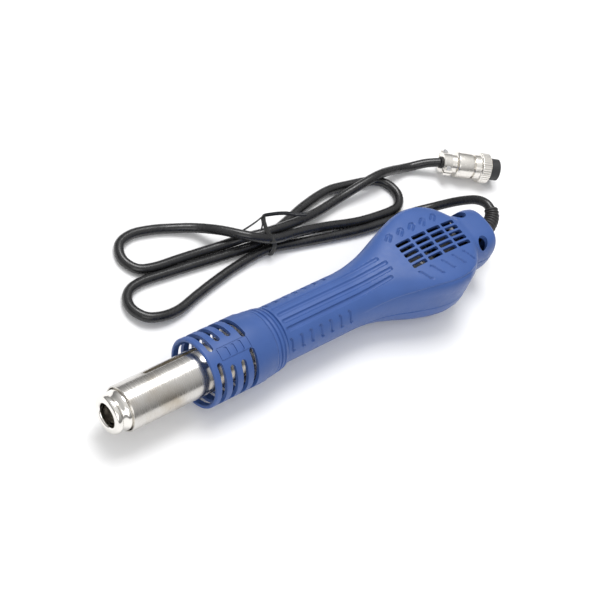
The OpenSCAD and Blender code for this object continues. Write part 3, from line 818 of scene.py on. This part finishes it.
def make_guard():
    profile = [(GUARD_FRONT, 15.8), (GUARD_FRONT, 16.7), (40.5, 17.2), (71.0, 17.2), (73.0, 16.7),
               (76.4, 16.5), (GUARD_BACK, 16.2), (GUARD_BACK, 14.95), (66.0, 14.95), (65.4, 15.4),
               (40.4, 15.4)]
    me = lathe("guard_sleeve", profile, TUBE_FRAME, 240, 0.22)
    ob = add_object("guard_sleeve", me, "handpiece", ["front_guard"], guard_blue)
    subtract(ob, joined(*guard_slots()))
    subtract(ob, joined(*guard_frame()))
    smooth(ob.data, 38)


def make_tube():
    """The steel tube with its inner flange and the clamp slot near the mouth."""
    profile = [(0.0, 10.25), (0.0, 10.85), (0.5, 11.0), (64.8, 11.0), (64.8, 14.4), (66.0, 14.4),
               (66.0, 10.2), (0.5, 10.2)]
    me = lathe("tube_sleeve", profile, TUBE_FRAME, 224, 0.15)
    ob = add_object("tube_sleeve", me, "handpiece", ["heater_tube"], tube_steel)
    turn = Matrix.Rotation(math.radians(-42), 4, "Z")
    outward_from_axis = Matrix.Rotation(math.radians(90), 4, "Y")
    at = TUBE_FRAME @ turn @ Matrix.Translation((0, 0, 30 * MM)) @ outward_from_axis
    subtract(ob, prism(stadium(30, 2.4), 9.9, 13, at))
    smooth(ob.data, 40)


def make_tip():
    """The plated collar, rolled and necked in front of the tube's mouth."""
    profile = [(-7.5, 6.3), (-7.5, 8.2), (-7.0, 9.0), (-6.1, 9.3), (-5.1, 9.3), (-4.3, 8.8), (-4.0, 8.0),
               (-3.5, 7.9), (-2.9, 8.4), (-1.9, 9.2), (-0.9, 9.6), (0.1, 9.6), (1.1, 10.18), (5.5, 10.18),
               (5.5, 9.4), (1.5, 9.4), (-2.5, 5.75), (-6.9, 5.75)]
    me = lathe("tip_ring", profile, TUBE_FRAME, 192, 0.3)
    add_object("tip_ring", me, "handpiece", ["tip_collar"], collar_nickel)


make_guard()
make_tube()
make_tip()

# ---- Inner pieces that stay as the CAD has them ----

# The mica is coloured a darker brown than its own, as painted shade, so the slot in the tube reads as a dark
# recess.
mica_shade_painted_look = moulded("mica_shade_painted_look", (0.17, 0.14, 0.09), 0.45, spread=0.25)
ceramic_look = moulded("ceramic_look", (0.82, 0.79, 0.72), 0.7, 1800, 0.0001)
coil_look = metal("coil_look", (0.34, 0.30, 0.28), 0.45)
copper_look = metal("copper_look", (0.62, 0.28, 0.13), 0.3)
board_look = moulded("board_look", (0.02, 0.16, 0.07), 0.3, spread=0.15)
foam_look = moulded("foam_look", (0.06, 0.06, 0.065), 0.9, 1200, 0.0003)
terminal_look = moulded("terminal_look", (0.08, 0.30, 0.12), 0.4)
red_look = rubbery("red_lead_look", (0.45, 0.03, 0.02), 0.4)
yellow_look = rubbery("yellow_lead_look", (0.5, 0.38, 0.04), 0.4)
impeller_look = moulded("impeller_look", (0.10, 0.105, 0.11), 0.45)
magnet_look = metal("magnet_look", (0.16, 0.16, 0.17), 0.5)
glass_look = moulded("reed_look", (0.30, 0.42, 0.35), 0.1)

CAD_LOOKS = {
    socket_black: ["front_socket"],
    screw_steel: ["tube_screws", "thermocouple", "fan_shaft", "blower_screws", "board_screws", "cord_clamp",
                  "clamp_screws", "shell_screws", "plug_screws"],
    mica_shade_painted_look: ["mica_sleeve"], ceramic_look: ["heater_former", "heater_base"], coil_look: ["heater_coil"],
    fan_black: ["blower_housing", "blower_cover"], impeller_look: ["impeller"], magnet_look: ["fan_magnet"],
    copper_look: ["fan_stator"], pin_brass: ["fan_bearings", "plug_contacts"],
    board_look: ["fan_board", "sensor_board"], foam_look: ["outlet_gasket"], glass_look: ["reed_switch"],
    terminal_look: ["terminal_block"], red_look: ["heater_leads", "fan_leads"], yellow_look: ["cord_leads"],
    cord_black: ["cord_end"], relief_black: ["plug_sleeve"], plug_nickel: ["plug_saddle"],
    insert_black: ["plug_insert"]}
for look, names in CAD_LOOKS.items():
    for name in names:
        data = cad(name).data
        data.materials.clear()
        data.materials.append(look)


# ---- Floor and light ----

def make_stage():
    """A white floor, and a sky that gets brighter towards its top."""
    reach = 15
    me = bpy.data.meshes.new("floor")
    me.from_pydata([(-reach, -reach, 0), (reach, -reach, 0), (reach, reach, 0), (-reach, reach, 0)], [],
                   [(0, 1, 2, 3)])
    floor = bpy.data.objects.new("floor", me)
    scene.collection.objects.link(floor)
    look = Look("floor_look", (0.93, 0.93, 0.935), 0.75)
    look.vary_rough(look.noise(30, 2), 0.7, 0.8)
    me.materials.append(look.mat)

    world = bpy.data.worlds.new("studio")
    world.use_nodes = True
    nodes, links = world.node_tree.nodes, world.node_tree.links
    coords = nodes.new("ShaderNodeTexCoord")
    split = nodes.new("ShaderNodeSeparateXYZ")
    links.new(coords.outputs["Generated"], split.inputs["Vector"])
    sky = nodes.new("ShaderNodeValToRGB")
    sky.color_ramp.elements.new(0.35)
    for element, (at, value) in zip(sky.color_ramp.elements, [(0.0, 0.20), (0.35, 0.42), (1.0, 1.0)]):
        element.position = at
        element.color = (value, value, value, 1)
    links.new(split.outputs["Z"], sky.inputs["Fac"])
    links.new(sky.outputs["Color"], nodes["Background"].inputs["Color"])
    nodes["Background"].inputs["Strength"].default_value = 0.9
    scene.world = world


def area_light(name, place, target, size, watts):
    """A square lamp that faces the target."""
    data = bpy.data.lights.new(name, "AREA")
    data.size = size
    data.energy = watts
    ob = bpy.data.objects.new(name, data)
    ob.location = place
    ob.rotation_euler = (Vector(target) - Vector(place)).to_track_quat("-Z", "Y").to_euler()
    scene.collection.objects.link(ob)


make_stage()
scene.view_settings.view_transform = "Standard"
area_light("key", (-0.25, -0.50, 1.35), (0, -0.02, 0), 0.7, 14)
area_light("fill", (0.7, 0.8, 0.7), (0, 0, 0), 0.9, 4.5)
